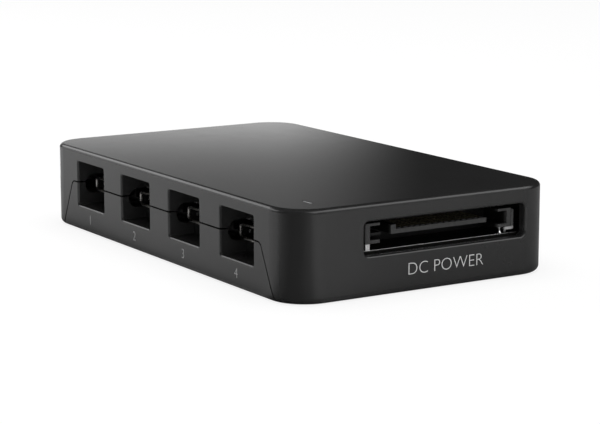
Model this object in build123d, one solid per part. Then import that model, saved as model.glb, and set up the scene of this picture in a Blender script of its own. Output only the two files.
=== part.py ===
"""Fan controller hub: a flat two-shell plastic case around one circuit board.

Four fan sockets stand in tunnels along the front. A power plug with fifteen contacts looks out of
the right-hand end, and a small data port looks out of the left-hand end.
Units are millimetres. X runs along the row of fan sockets, Y from the front to the back, Z up.
The origin is the middle of the underside.
"""
from build123d import *

import os
from math import hypot, sqrt

# Case: two shells that part along the front at mid height
case_length = 96.0
case_width = 56.8
case_height = 16.6
corner_radius = 7.2
top_edge_radius = 0.85
bottom_edge_radius = 1.1
wall = 1.8
roof = 1.6
floor = 1.6
seam_gap = 0.3

# Fan ports in the front wall, each with a tunnel behind it
port_count = 4
port_pitch = 19.35
port_row_offset = 0.7
port_width = 11.5
port_height = 8.85
port_lintel = 2.55
port_corner_radius = 0.4
port_edge_radius = 0.45
tunnel_wall = 1.5
tunnel_depth = 5.35
slot_setback = 1.65
slot_clearance = 0.5

# Front tab of the base: it carries the lower halves of the ports
seam_rise = 1.8
tab_margin = 0.8
tab_spread = 4.6
tab_corner_radius = 1.2

# Circuit board
board_headroom = 7.1
board_thickness = 1.6
board_gap = 0.4
pin_hole_clearance = 0.05

# Screws, the base posts that seat them and the cover bosses that they bite into
screw_radius = 1.1
screw_bite = 5.0
screw_head_radius = 1.9
screw_head_height = 1.3
screw_head_round = 0.4
screw_recess_width = 0.5
screw_recess_length = 2.4
screw_recess_depth = 0.7
screw_well_depth = 2.2
screw_well_clearance = 0.2
screw_hole_clearance = 0.15
thread_clearance = 0.02
boss_radius = 2.5
boss_inset = 4.7
boss_gap = 0.9
post_radius = 3.0
rest_peg_radius = 1.5

# Fan sockets and their pins
socket_setback = 4.2
socket_body_length = 6.5
socket_body_overlap = 0.45
socket_body_height = 3.5
socket_fit = 0.15
shroud_side_gap = 0.3
shroud_height = 2.8
shroud_wall = 0.45
socket_mouth_depth = 5.0
fan_pin_count = 4
fan_pin_pitch = 2.54
fan_pin_size = 0.64
fan_pin_setback = 0.8
fan_pin_inset = 2.0
fan_pin_tail = 1.2
fan_pin_bend_radius = 0.9
pin_fit = 0.02

# Power plug: a keyed tongue between two channel-shaped guide arms
plug_from_back = 24.62
plug_setback = 0.15
plug_depth = 9.5
plug_back_thickness = 2.5
plug_height = 4.75
plug_arm_wall = 0.95
plug_fin_reach = 3.0
plug_fin_thickness = 0.45
plug_low_fin_rise = 1.17
plug_low_fin_thickness = 0.6
plug_middle_fin_rise = 2.4
plug_middle_fin_setback = 0.9
plug_middle_fin_reach = 3.8
plug_right_arm_drop = 0.2
tongue_margin = 0.565
tongue_side_gap = 5.43
tongue_offset = 0.1
tongue_rise = 2.4
tongue_thickness = 0.8
tongue_setback = 0.3
tongue_key_width = 1.05
tongue_key_height = 0.82
plug_sill_drop = 0.55
plug_head_gap = 0.75
plug_side_gap = 1.57
opening_offset = 0.17
opening_corner_radius = 1.0
opening_edge_radius = 0.5

# Contacts of the power plug and the metal clips that hold it to the board
contact_count = 15
contact_pitch = 1.27
contact_width = 0.84
contact_thickness = 0.25
contact_proud = 0.15
contact_tip_setback = 0.3
contact_drop_gap = 0.15
contact_foot = 1.2
clip_length = 2.0
clip_height = 1.15
clip_leg_length = 0.8
clip_leg_width = 0.5
clip_leg_tail = 0.8
clip_hole_clearance = 0.13
clip_fit = 0.04
clip_bar_rise = 0.6
clip_bar_reach = 0.5
clip_blade_gap = 0.12
clip_blade_height = 4.2
clip_blade_thickness = 0.45

# Data port in the left-hand wall
data_port_offset = 0.0
data_port_width = 7.5
data_port_height = 2.6
data_port_length = 5.6
data_port_sheet = 0.3
data_port_bevel = 0.9
data_port_setback = 0.15
data_tongue_width = 4.4
data_tongue_thickness = 0.7
data_tongue_setback = 1.0
data_tongue_root = 1.5
data_contact_count = 5
data_contact_pitch = 0.65
data_contact_width = 0.35
data_contact_thickness = 0.12
data_contact_setback = 2.0
data_opening_margin = 1.9
data_fit = 0.03

# Status light: a slit in the roof, a clear light pipe and a lamp on the board
slit_length = 3.2
slit_width = 0.6
slit_setback = 7.77
slit_share = 0.4255
pipe_fit = 0.04
pipe_recess = 0.08
pipe_flange = 0.4
pipe_flange_thickness = 0.8
pipe_lamp_gap = 0.3
lamp_length = 2.0
lamp_width = 1.25
lamp_height = 0.8

# Parts soldered on the board
row_gap = 0.9
part_lift = 0.1
lid_clearance = 1.1
capacitor_radius = 3.15
capacitor_base_margin = 0.15
capacitor_base_height = 0.9
capacitor_base_bevel = 1.2
capacitor_edge_radius = 0.5
capacitor_groove_rise = 0.9
capacitor_groove = 0.25
driver_length = 6.5
driver_width = 3.5
driver_height = 1.6
driver_bevel = 0.2
driver_lead_count = 3
driver_lead_width = 0.7
driver_lead_pitch = 2.3
driver_tab_width = 3.0
driver_lead_reach = 1.75
driver_lead_knee = 0.7
driver_lead_thickness = 0.28
chip_size = 7.0
chip_height = 1.4
chip_bevel = 0.5
chip_side_leads = 12
chip_lead_pitch = 0.5
chip_lead_width = 0.22
chip_lead_reach = 1.0
chip_lead_knee = 0.4
chip_lead_thickness = 0.15
crystal_length = 5.0
crystal_width = 3.2
crystal_height = 1.1
crystal_edge_radius = 0.3
regulator_length = 4.9
regulator_width = 3.9
regulator_height = 1.5
regulator_side_leads = 4
regulator_lead_pitch = 1.27
regulator_lead_width = 0.42
regulator_lead_reach = 1.05
regulator_lead_knee = 0.42
regulator_lead_thickness = 0.2
inductor_length = 7.0
inductor_width = 6.6
inductor_height = 3.0
inductor_edge_radius = 0.6
inductor_pad_length = 1.4
inductor_pad_thickness = 0.15
bulk_radius = 4.0
fuse_length = 4.5
fuse_width = 3.2
fuse_height = 0.9
resistor_count = 14
resistor_length = 1.6
resistor_width = 0.8
resistor_height = 0.45
ceramic_count = 10
ceramic_length = 2.0
ceramic_width = 1.25
ceramic_height = 1.0
chip_part_gap = 1.6



def spread(middle, pitch, count):
    """Evenly spaced places about a middle."""
    return [middle + (i - (count - 1) / 2) * pitch for i in range(count)]


# Places worked out from the sizes above
front = -case_width / 2
back = case_width / 2
right = case_length / 2
left = -case_length / 2
roof_underside = case_height - roof
board_top = roof_underside - board_headroom
board_underside = board_top - board_thickness
tab_height = board_top + seam_rise
port_top = case_height - port_lintel
port_sill = port_top - port_height
port_centres = spread(port_row_offset, port_pitch, port_count)
row_half = (port_count - 1) / 2 * port_pitch + port_width / 2
tunnel_left = port_row_offset - row_half - tunnel_wall
tunnel_right = port_row_offset + row_half + tunnel_wall
tunnel_end = front + tunnel_depth + tunnel_wall
socket_front = front + socket_setback
socket_body_front = tunnel_end + socket_fit
socket_rear = socket_body_front + socket_body_length
socket_middle = board_top + shroud_height / 2
fan_pin_drop = socket_rear - fan_pin_inset
board_front = tunnel_end + board_gap
tongue_width = (contact_count - 1) * contact_pitch + contact_width + tongue_key_width + 2 * tongue_margin
plug_width = tongue_width + 2 * tongue_side_gap
plug_centre = back - plug_from_back
plug_front = right - wall - plug_setback
plug_rear = plug_front - plug_depth
plug_left = plug_centre - plug_width / 2
plug_right = plug_centre + plug_width / 2
plug_top = board_top + plug_height
clip_places = [plug_left + plug_arm_wall / 2, plug_right - plug_arm_wall / 2]
clip_reach = (plug_front - clip_length + clip_fit, plug_front - clip_fit)
clip_leg_x = clip_reach[0] + clip_leg_length / 2
clip_top = board_top + clip_height - clip_fit
tongue_front = plug_front - tongue_setback
tongue_centre = plug_centre + tongue_offset
tongue_top = board_top + tongue_rise + tongue_thickness
contact_top = tongue_top + contact_proud
contact_tip = tongue_front - contact_tip_setback
contact_drop = plug_rear - contact_drop_gap
contact_heel = contact_drop - contact_thickness - contact_foot
contact_places = spread(tongue_centre + tongue_key_width / 2, contact_pitch, contact_count)
data_front = left + wall + data_port_setback
data_rear = data_front + data_port_length
data_tongue_low = board_top + data_port_height / 2
data_contact_places = spread(data_port_offset, data_contact_pitch, data_contact_count)
slit_x = tunnel_right + slit_share * (right - wall - tunnel_right)
slit_y = front + slit_setback

# The four screws: two at the left-hand end, two just inboard of the power plug
screw_left = left + wall + boss_inset
screw_right = contact_heel - boss_gap - boss_radius
screw_back = back - wall - board_gap - post_radius
screw_points = [
    (screw_left, board_front + boss_radius + boss_gap),
    (screw_left, screw_back),
    (screw_right, socket_rear + boss_radius + boss_gap),
    (screw_right, screw_back),
]

# Rows of parts behind the sockets, from the front to the back
capacitor_half = capacitor_radius + capacitor_base_margin
capacitor_row = socket_rear + row_gap + capacitor_half
driver_depth = driver_width + 2 * driver_lead_reach
driver_row = capacitor_row + capacitor_half + row_gap + driver_depth / 2
chip_span = chip_size + 2 * chip_lead_reach
chip_row = driver_row + driver_depth / 2 + row_gap + chip_span / 2
resistor_row = chip_row + chip_span / 2 + row_gap + resistor_width / 2
ceramic_row = resistor_row + resistor_width / 2 + row_gap + ceramic_width / 2
parts_left = screw_left + boss_radius + boss_gap
parts_right = screw_right - boss_radius - boss_gap
parts_middle = (parts_left + parts_right) / 2
channel_centres = spread(parts_middle, (parts_right - parts_left) / port_count, port_count)


# Helpers
def block(x, y, z):
    """A box from three (low, high) pairs."""
    size = [high - low for low, high in (x, y, z)]
    return Pos(x[0], y[0], z[0]) * Box(*size, align=(Align.MIN, Align.MIN, Align.MIN))


def box_at(x, y, z, length, width, height):
    """A box that stands on height z, centred on x and y."""
    return Pos(x, y, z) * Box(length, width, height, align=(Align.CENTER, Align.CENTER, Align.MIN))


def rod(x, y, z, radius):
    """An upright cylinder between the two heights in z."""
    align = (Align.CENTER, Align.CENTER, Align.MIN)
    return Pos(x, y, z[0]) * Cylinder(radius, z[1] - z[0], align=align)


def rounded_plate(inset, z):
    """The case's plan outline, moved in by inset, between the two heights in z."""
    outline = RectangleRounded(case_length - 2 * inset, case_width - 2 * inset, corner_radius - inset)
    return Pos(0, 0, z[0]) * extrude(outline, z[1] - z[0])


def prism_along_x(points, x):
    """A closed outline of (y, z) points, pulled from x[0] to x[1]."""
    return extrude(Plane.YZ.offset(x[0]) * make_face(Polyline(*points, close=True)), x[1] - x[0])


def prism_along_y(points, y):
    """A closed outline of (x, z) points, pulled from y[0] to y[1]."""
    return extrude(Plane.XZ.offset(-y[0]) * make_face(Polyline(*points, close=True)), y[0] - y[1])


def window_along_y(x, z, width, height, radius, y):
    """A rounded window centred on x and z, pulled from y[0] to y[1]."""
    outline = Plane.XZ.offset(-y[0]) * Pos(x, z) * RectangleRounded(width, height, radius)
    return extrude(outline, y[0] - y[1])


def window_along_x(y, z, width, height, radius, x):
    """A rounded window centred on y and z, pulled from x[0] to x[1]."""
    outline = Plane.YZ.offset(x[0]) * Pos(y, z) * RectangleRounded(width, height, radius)
    return extrude(outline, x[1] - x[0])


def group(solids):
    """Separate solids that share one node."""
    return Compound(children=list(solids))


def edges_inside(shape, low, high):
    """The edges whose middles lie in the box from low to high."""
    found = []
    for edge in shape.edges():
        middle = edge.center()
        if all(a <= m <= b for a, m, b in zip(low, (middle.X, middle.Y, middle.Z), high)):
            found.append(edge)
    return found


# Case
def case_body():
    """The case as one filled block with its rounded edges."""
    body = rounded_plate(0, (0, case_height))
    body = fillet(body.faces().sort_by(Axis.Z)[-1].edges(), min(top_edge_radius, roof))
    return fillet(body.faces().sort_by(Axis.Z)[0].edges(), min(bottom_edge_radius, wall))


def tab_zone(grow):
    """The leaning-sided zone of the front that belongs to the base, widened all round by grow."""
    lean = tab_spread / tab_height
    side = grow * sqrt(1 + lean**2)
    half_top = row_half + tunnel_wall + tab_margin
    top = tab_height + grow
    foot = -floor
    high_half = half_top + (tab_height - top) * lean + side
    low_half = half_top + (tab_height - foot) * lean + side
    corners = [
        (port_row_offset - low_half, foot),
        (port_row_offset + low_half, foot),
        (port_row_offset + high_half, top),
        (port_row_offset - high_half, top),
    ]
    outline = make_face(Polyline(*corners, close=True))
    outline = fillet(outline.vertices().group_by(Axis.Y)[-1], tab_corner_radius + grow)
    start = front - wall
    depth = tunnel_end + seam_gap - start
    return extrude(Plane.XZ.offset(-start) * outline, -depth)


def socket_slot():
    """Round-nosed slot along the row: it opens the tunnels' back walls and notches their sides."""
    radius = shroud_height / 2 + slot_clearance
    nose = front + slot_setback + radius
    x = (tunnel_left - tunnel_wall, tunnel_right + tunnel_wall)
    slot = block(x, (nose, tunnel_end + socket_fit), (socket_middle - radius, socket_middle + radius))
    rounding = Cylinder(radius, x[1] - x[0], rotation=(0, 90, 0))
    return slot + Pos(port_row_offset, nose, socket_middle) * rounding


def full_shell():
    """Walls, roof and port tunnels of both shells, before they part."""
    shell = case_body() - rounded_plate(wall, (-floor, roof_underside))
    for x in port_centres:
        half = port_width / 2 + tunnel_wall
        height = (port_sill - tunnel_wall, roof_underside + roof / 2)
        shell += block((x - half, x + half), (front + wall / 2, tunnel_end), height)
    for x in port_centres:
        middle = port_sill + port_height / 2
        depth = (front - wall, front + tunnel_depth)
        shell -= window_along_y(x, middle, port_width, port_height, port_corner_radius, depth)
    slack = port_corner_radius / 2
    low = (port_row_offset - row_half - slack, front - slack, port_sill - slack)
    high = (port_row_offset + row_half + slack, front + slack, port_top + slack)
    return fillet(edges_inside(shell, low, high), port_edge_radius) - socket_slot()


def power_opening(shape):
    """Cuts the power plug's window in the right-hand wall."""
    height = plug_sill_drop + plug_height + plug_head_gap
    width = plug_width + 2 * plug_side_gap
    middle = board_top - plug_sill_drop + height / 2
    centre = plug_centre + opening_offset
    reach = (right - wall - plug_setback / 2, right + wall)
    shape -= window_along_x(centre, middle, width, height, opening_corner_radius, reach)
    slack = opening_corner_radius / 2
    low = (right - slack, centre - width / 2 - slack, middle - height / 2 - slack)
    high = (right + slack, centre + width / 2 + slack, middle + height / 2 + slack)
    return fillet(edges_inside(shape, low, high), opening_edge_radius)


def data_opening(shape):
    """Cuts the data port's window in the left-hand wall, wide enough for a plug's grip."""
    height = data_port_height + 2 * data_opening_margin
    width = data_port_width + 2 * data_opening_margin
    middle = board_top + data_port_height / 2
    reach = (left - wall, left + wall + data_port_setback / 2)
    shape -= window_along_x(data_port_offset, middle, width, height, opening_corner_radius, reach)
    slack = opening_corner_radius / 2
    low = (left - slack, data_port_offset - width / 2 - slack, middle - height / 2 - slack)
    high = (left + slack, data_port_offset + width / 2 + slack, middle + height / 2 + slack)
    return fillet(edges_inside(shape, low, high), opening_edge_radius)


def top_cover(shell):
    """Upper shell: roof, walls, upper port halves and the bosses that press on the board."""
    cover = shell - tab_zone(seam_gap)
    cover = data_opening(power_opening(cover))
    for x, y in screw_points:
        cover += rod(x, y, (board_top, roof_underside + roof / 2), boss_radius)
    bite = (board_top - wall, board_top + screw_bite + thread_clearance)
    for x, y in screw_points:
        cover -= rod(x, y, bite, screw_radius + thread_clearance)
    slit = extrude(SlotOverall(slit_length, slit_width), case_height - board_top)
    return cover - Pos(slit_x, slit_y, board_top) * slit


def base_cover(shell):
    """Lower shell: floor, front tab with the lower port halves, screw posts and rest pegs."""
    inset = wall + seam_gap
    base = shell & tab_zone(0)
    base += rounded_plate(inset, (0, floor))
    joint = block((left, right), (front, front + inset + wall), (0, floor))
    base += case_body() & tab_zone(0) & joint
    for x, y in screw_points:
        base += rod(x, y, (0, board_underside), post_radius)
    for y in (plug_left + plug_arm_wall + rest_peg_radius, plug_right - plug_arm_wall - rest_peg_radius):
        x = (plug_rear + plug_front) / 2
        base += rod(x, y, (0, board_underside), rest_peg_radius)
    for x, y in screw_points:
        base -= rod(x, y, (-floor, screw_well_depth), screw_head_radius + screw_well_clearance)
        base -= rod(x, y, (0, board_underside + floor), screw_radius + screw_hole_clearance)
    return base


def case_screw(x, y):
    """One cross-head screw, head down in its well."""
    seat = screw_well_depth
    head = rod(x, y, (seat - screw_head_height, seat), screw_head_radius)
    head = fillet(head.faces().sort_by(Axis.Z)[0].edges(), screw_head_round)
    screw = head + rod(x, y, (seat, board_top + screw_bite), screw_radius)
    low = seat - screw_head_height
    screw -= box_at(x, y, low, screw_recess_length, screw_recess_width, screw_recess_depth)
    return screw - box_at(x, y, low, screw_recess_width, screw_recess_length, screw_recess_depth)


# Circuit board
def circuit_board():
    """The board, cut back behind the ports and drilled for screws, pins and clips."""
    board = rounded_plate(wall + board_gap, (board_underside, board_top))
    notch = (tunnel_left - board_gap, tunnel_right + board_gap)
    board -= block(notch, (front, board_front), (board_underside - floor, board_top + floor))
    through = (board_underside - floor, board_top + floor)
    for x, y in screw_points:
        board -= rod(x, y, through, screw_radius + screw_hole_clearance)
    pin_hole = hypot(fan_pin_size, fan_pin_size) / 2 + pin_hole_clearance
    for centre in port_centres:
        for x in spread(centre, fan_pin_pitch, fan_pin_count):
            board -= rod(x, fan_pin_drop, through, pin_hole)
    clip_hole = hypot(clip_leg_length, clip_leg_width) / 2 + clip_hole_clearance
    for y in clip_places:
        board -= rod(clip_leg_x, y, through, clip_hole)
    return board


# Fan sockets
def fan_pin(x, grow):
    """One bent square pin, thickened all round by grow."""
    half = fan_pin_size / 2 + grow
    tip = socket_front + fan_pin_setback
    tail = board_underside - fan_pin_tail
    outline = [
        (tip, socket_middle + half),
        (fan_pin_drop + half, socket_middle + half),
        (fan_pin_drop + half, tail),
        (fan_pin_drop - half, tail),
        (fan_pin_drop - half, socket_middle - half),
        (tip, socket_middle - half),
    ]
    pin = prism_along_x(outline, (x - half, x + half))
    bend = pin.edges().filter_by(Axis.X).group_by(Axis.Y)[-1].sort_by(Axis.Z)[-1]
    return fillet(bend, fan_pin_bend_radius + grow)


def shroud_along_y(centre, inset, y):
    """The round-ended outline of a socket's shroud, moved in by inset, pulled from y[0] to y[1]."""
    width = port_width - 2 * shroud_side_gap
    outline = SlotOverall(width - 2 * inset, shroud_height - 2 * inset)
    return extrude(Plane.XZ.offset(-y[0]) * Pos(centre, socket_middle) * outline, y[0] - y[1])


def fan_socket(centre):
    """Moulded socket: a round-ended shroud through the slot, and a body that stands on the board."""
    half = port_width / 2 + socket_body_overlap
    height = (board_top, board_top + socket_body_height)
    socket = block((centre - half, centre + half), (socket_body_front, socket_rear), height)
    socket += shroud_along_y(centre, 0, (socket_front, socket_body_front + socket_fit))
    socket -= shroud_along_y(centre, shroud_wall, (socket_front - wall, socket_front + socket_mouth_depth))
    for x in spread(centre, fan_pin_pitch, fan_pin_count):
        socket -= fan_pin(x, pin_fit)
    return socket


# Power plug
def guide_arm(side, top):
    """One guide arm: an upright wall on the side -1 or 1, with fins that point at the tongue."""
    outer = plug_centre + side * plug_width / 2
    inner = outer - side * plug_arm_wall
    tip = outer - side * plug_fin_reach
    root = plug_rear + plug_back_thickness / 2
    arm = block((root, plug_front), sorted((outer, inner)), (board_top, top))
    low_fin = board_top + plug_low_fin_rise
    for z in ((low_fin, low_fin + plug_low_fin_thickness), (top - plug_fin_thickness, top)):
        arm += block((root, plug_front), sorted((inner, tip)), z)
    if side < 0:
        z = board_top + plug_middle_fin_rise
        reach = (root, plug_front - plug_middle_fin_setback)
        tip = outer - side * plug_middle_fin_reach
        arm += block(reach, sorted((inner, tip)), (z, z + plug_fin_thickness))
    across = sorted((outer + side * clip_fit, inner - side * clip_fit))
    height = (board_top - clip_fit, board_top + clip_height)
    return arm - block((plug_front - clip_length, plug_front + clip_fit), across, height)


def power_plug():
    """Plug body: back wall, two guide arms and the keyed tongue with a groove for each contact."""
    back_wall = (plug_rear, plug_rear + plug_back_thickness)
    plug = block(back_wall, (plug_left, plug_right), (board_top, plug_top))
    plug += guide_arm(-1, plug_top) + guide_arm(1, plug_top - plug_right_arm_drop)
    edge = tongue_centre - tongue_width / 2
    root = plug_rear + plug_back_thickness / 2
    low = tongue_top - tongue_thickness
    plug += block((root, tongue_front), (edge, edge + tongue_width), (low, tongue_top))
    key_top = tongue_top + tongue_key_height
    plug += block((root, tongue_front), (edge, edge + tongue_key_width), (low, key_top))
    for y in contact_places:
        half = contact_width / 2 + pin_fit
        groove = (contact_top - contact_thickness - pin_fit, contact_top + pin_fit)
        plug -= block((plug_rear - wall, contact_tip + pin_fit), (y - half, y + half), groove)
    return plug


def power_contact(y):
    """One contact: a blade along the tongue, a drop behind the back wall and a foot on the board."""
    blade_low = contact_top - contact_thickness
    outline = [
        (contact_tip, contact_top),
        (contact_tip, blade_low),
        (contact_drop, blade_low),
        (contact_drop, board_top),
        (contact_heel, board_top),
        (contact_heel, board_top + contact_thickness),
        (contact_drop - contact_thickness, board_top + contact_thickness),
        (contact_drop - contact_thickness, contact_top),
    ]
    return prism_along_y(outline, (y - contact_width / 2, y + contact_width / 2))


def clip_leg(y):
    """A clip's leg, from the top of the clip down through the board."""
    low = board_underside - clip_leg_tail
    return box_at(clip_leg_x, y, low, clip_leg_length, clip_leg_width, clip_top - low)


def left_clip(y):
    """The left-hand metal clip: a block in the foot of its guide arm, with a leg through the board."""
    half = plug_arm_wall / 2 - clip_fit
    return block(clip_reach, (y - half, y + half), (board_top, clip_top)) + clip_leg(y)


def right_clip(y):
    """The right-hand metal clip: a raised bar, a leg through the board and a blade beside its arm."""
    inner = y - plug_arm_wall / 2 - clip_bar_reach
    blade = plug_right + clip_blade_gap
    outer = blade + clip_blade_thickness
    bar_low = board_top + clip_bar_rise
    clip = block(clip_reach, (inner, outer), (bar_low, clip_top)) + clip_leg(y)
    return clip + block(clip_reach, (blade, outer), (bar_low, board_top + clip_blade_height))


# Data port
def data_outline(inset):
    """The port's outline, moved in by inset: square at the top and bevelled at the bottom."""
    half = data_port_width / 2 - inset
    bottom = board_top + inset
    top = board_top + data_port_height - inset
    bevel = data_port_bevel
    right_side = [(half - bevel, bottom), (half, bottom + bevel), (half, top)]
    left_side = [(-y, z) for y, z in reversed(right_side)]
    return [(data_port_offset + y, z) for y, z in right_side + left_side]


def data_port_shell():
    """Folded sheet-metal shell, open towards the left-hand wall."""
    shell = prism_along_x(data_outline(0), (data_front, data_rear))
    hollow = (data_front - wall, data_rear - data_port_sheet)
    return shell - prism_along_x(data_outline(data_port_sheet), hollow)


def data_contact(y, grow):
    """One contact strip under the data port's tongue, thickened all round by grow."""
    half = data_contact_width / 2 + grow
    tip = data_front + data_contact_setback
    end = data_rear - data_port_sheet - data_fit
    z = (data_tongue_low - grow, data_tongue_low + data_contact_thickness + grow)
    return block((tip - grow, end + grow), (y - half, y + half), z)


def data_port_tongue():
    """Insulator: a root that plugs the back of the shell, and a thin tongue with contact grooves."""
    inset = data_port_sheet + data_fit
    end = data_rear - inset
    tongue = prism_along_x(data_outline(inset), (end - data_tongue_root, end))
    y = (data_port_offset - data_tongue_width / 2, data_port_offset + data_tongue_width / 2)
    z = (data_tongue_low, data_tongue_low + data_tongue_thickness)
    tongue += block((data_front + data_tongue_setback, end - data_tongue_root / 2), y, z)
    for place in data_contact_places:
        tongue -= data_contact(place, pin_fit)
    return tongue


# Status light
def light_pipe():
    """Clear pipe: a slim head in the slit, a flange under the roof and a stem down to the lamp."""
    length = slit_length - 2 * pipe_fit
    width = slit_width - 2 * pipe_fit
    low = board_top + lamp_height + pipe_lamp_gap
    stem = extrude(SlotOverall(length, width), case_height - pipe_recess - low)
    flange = extrude(SlotOverall(length + 2 * pipe_flange, width + 2 * pipe_flange), pipe_flange_thickness)
    flange_low = roof_underside - pipe_flange_thickness
    return Pos(slit_x, slit_y, low) * stem + Pos(slit_x, slit_y, flange_low) * flange


# Parts soldered on the board
def bent_lead(reach, knee, width, thickness, rise):
    """A bent lead along X: it leaves the body at the given rise, drops at the knee and ends at reach."""
    outline = [
        (0, rise + thickness),
        (knee, rise + thickness),
        (knee + thickness, thickness),
        (reach, thickness),
        (reach, 0),
        (knee, 0),
        (knee - thickness, rise),
        (0, rise),
    ]
    return prism_along_y(outline, (-width / 2, width / 2))


def lead_row(lead, x, y, offset, pitch, count, turn):
    """A row of equal leads on the side of a part that turn, in degrees, looks to."""
    side = Pos(x, y, board_top) * Rot(0, 0, turn)
    return [side * Pos(offset, along, 0) * lead for along in spread(0, pitch, count)]


def can_capacitor(x, y, radius):
    """Plastic base and aluminium can of an upright capacitor: the can ends just under the roof."""
    size = 2 * (radius + capacitor_base_margin)
    base = box_at(x, y, board_top, size, size, capacitor_base_height)
    bevelled = base.edges().filter_by(Axis.Z).group_by(Axis.Y)[0]
    base = chamfer(bevelled, capacitor_base_bevel)
    foot = board_top + capacitor_base_height
    can = rod(x, y, (foot, roof_underside - lid_clearance), radius)
    can = fillet(can.faces().sort_by(Axis.Z)[-1].edges(), capacitor_edge_radius)
    groove = Torus(radius + capacitor_groove / 2, capacitor_groove)
    return base, can - Pos(x, y, foot + capacitor_groove_rise) * groove


def channel_driver(x):
    """Power transistor of one fan channel: moulded body, one broad tab and three leads."""
    body = box_at(x, driver_row, board_top + part_lift, driver_length, driver_width, driver_height)
    body = chamfer(body.faces().sort_by(Axis.Z)[-1].edges(), driver_bevel)
    section = (driver_lead_thickness, driver_height / 2)
    lead = bent_lead(driver_lead_reach, driver_lead_knee, driver_lead_width, *section)
    tab = bent_lead(driver_lead_reach, driver_lead_knee, driver_tab_width, *section)
    leads = lead_row(lead, x, driver_row, driver_width / 2, driver_lead_pitch, driver_lead_count, -90)
    leads += lead_row(tab, x, driver_row, driver_width / 2, driver_lead_pitch, 1, 90)
    return body, group(leads)


def controller_chip(x):
    """Square chip body with one bevelled corner, and its four rows of leads."""
    body = box_at(x, chip_row, board_top + part_lift, chip_size, chip_size, chip_height)
    corner = body.edges().filter_by(Axis.Z).group_by(Axis.X)[0].sort_by(Axis.Y)[0]
    body = chamfer(corner, chip_bevel)
    section = (chip_lead_thickness, chip_height / 2)
    lead = bent_lead(chip_lead_reach, chip_lead_knee, chip_lead_width, *section)
    leads = []
    for turn in (0, 90, 180, 270):
        leads += lead_row(lead, x, chip_row, chip_size / 2, chip_lead_pitch, chip_side_leads, turn)
    return body, group(leads)


def regulator(x):
    """Voltage regulator: body and two rows of leads."""
    body = box_at(x, chip_row, board_top + part_lift, regulator_length, regulator_width, regulator_height)
    section = (regulator_lead_thickness, regulator_height / 2)
    lead = bent_lead(regulator_lead_reach, regulator_lead_knee, regulator_lead_width, *section)
    leads = []
    for turn in (90, 270):
        row = (regulator_width / 2, regulator_lead_pitch, regulator_side_leads, turn)
        leads += lead_row(lead, x, chip_row, *row)
    return body, group(leads)


def inductor(x):
    """Moulded power inductor on two flat end pads."""
    lift = board_top + inductor_pad_thickness
    body = box_at(x, chip_row, lift, inductor_length, inductor_width, inductor_height)
    body = fillet(body.edges().filter_by(Axis.Z), inductor_edge_radius)
    reach = (inductor_length - inductor_pad_length) / 2
    size = (inductor_pad_length, inductor_width / 2, inductor_pad_thickness)
    return body, group([box_at(x + side * reach, chip_row, board_top, *size) for side in (-1, 1)])


def crystal(x):
    """Metal crystal can."""
    can = box_at(x, chip_row, board_top, crystal_length, crystal_width, crystal_height)
    return fillet(can.edges().filter_by(Axis.Z), crystal_edge_radius)


def chip_parts(count, y, length, width, height):
    """A row of small chip parts, spread evenly across the board."""
    places = spread(parts_middle, length + chip_part_gap, count)
    return group([box_at(x, y, board_top, length, width, height) for x in places])


def row_places(widths):
    """X of parts of the given widths, spread across the board with equal gaps."""
    gap = (parts_right - parts_left - sum(widths)) / (len(widths) + 1)
    places = []
    edge = parts_left
    for width in widths:
        places.append(edge + gap + width / 2)
        edge += gap + width
    return places


# Assembly
def case_nodes():
    """Both shells and the screws that join them."""
    shell = full_shell()
    nodes = {"top_cover": top_cover(shell), "base_cover": base_cover(shell)}
    for number, (x, y) in enumerate(screw_points, 1):
        nodes[f"case_screw_{number}"] = case_screw(x, y)
    return nodes


def connector_nodes():
    """The board, the connectors along its edges and the status light."""
    nodes = {
        "circuit_board": circuit_board(),
        "power_plug": power_plug(),
        "power_contacts": group([power_contact(y) for y in contact_places]),
        "data_port_shell": data_port_shell(),
        "data_port_tongue": data_port_tongue(),
        "data_port_contacts": group([data_contact(y, 0) for y in data_contact_places]),
        "light_pipe": light_pipe(),
        "status_lamp": box_at(slit_x, slit_y, board_top, lamp_length, lamp_width, lamp_height),
    }
    left_place, right_place = clip_places
    nodes["power_plug_clip_1"] = left_clip(left_place)
    nodes["power_plug_clip_2"] = right_clip(right_place)
    for number, centre in enumerate(port_centres, 1):
        pins = [fan_pin(x, 0) for x in spread(centre, fan_pin_pitch, fan_pin_count)]
        nodes[f"fan_socket_{number}"] = fan_socket(centre)
        nodes[f"fan_pins_{number}"] = group(pins)
    return nodes


def channel_nodes():
    """One capacitor and one power transistor for each fan channel."""
    nodes = {}
    for number, x in enumerate(channel_centres, 1):
        base, can = can_capacitor(x, capacitor_row, capacitor_radius)
        body, leads = channel_driver(x)
        nodes[f"channel_capacitor_base_{number}"] = base
        nodes[f"channel_capacitor_can_{number}"] = can
        nodes[f"channel_driver_{number}"] = body
        nodes[f"channel_driver_leads_{number}"] = leads
    return nodes


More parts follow.
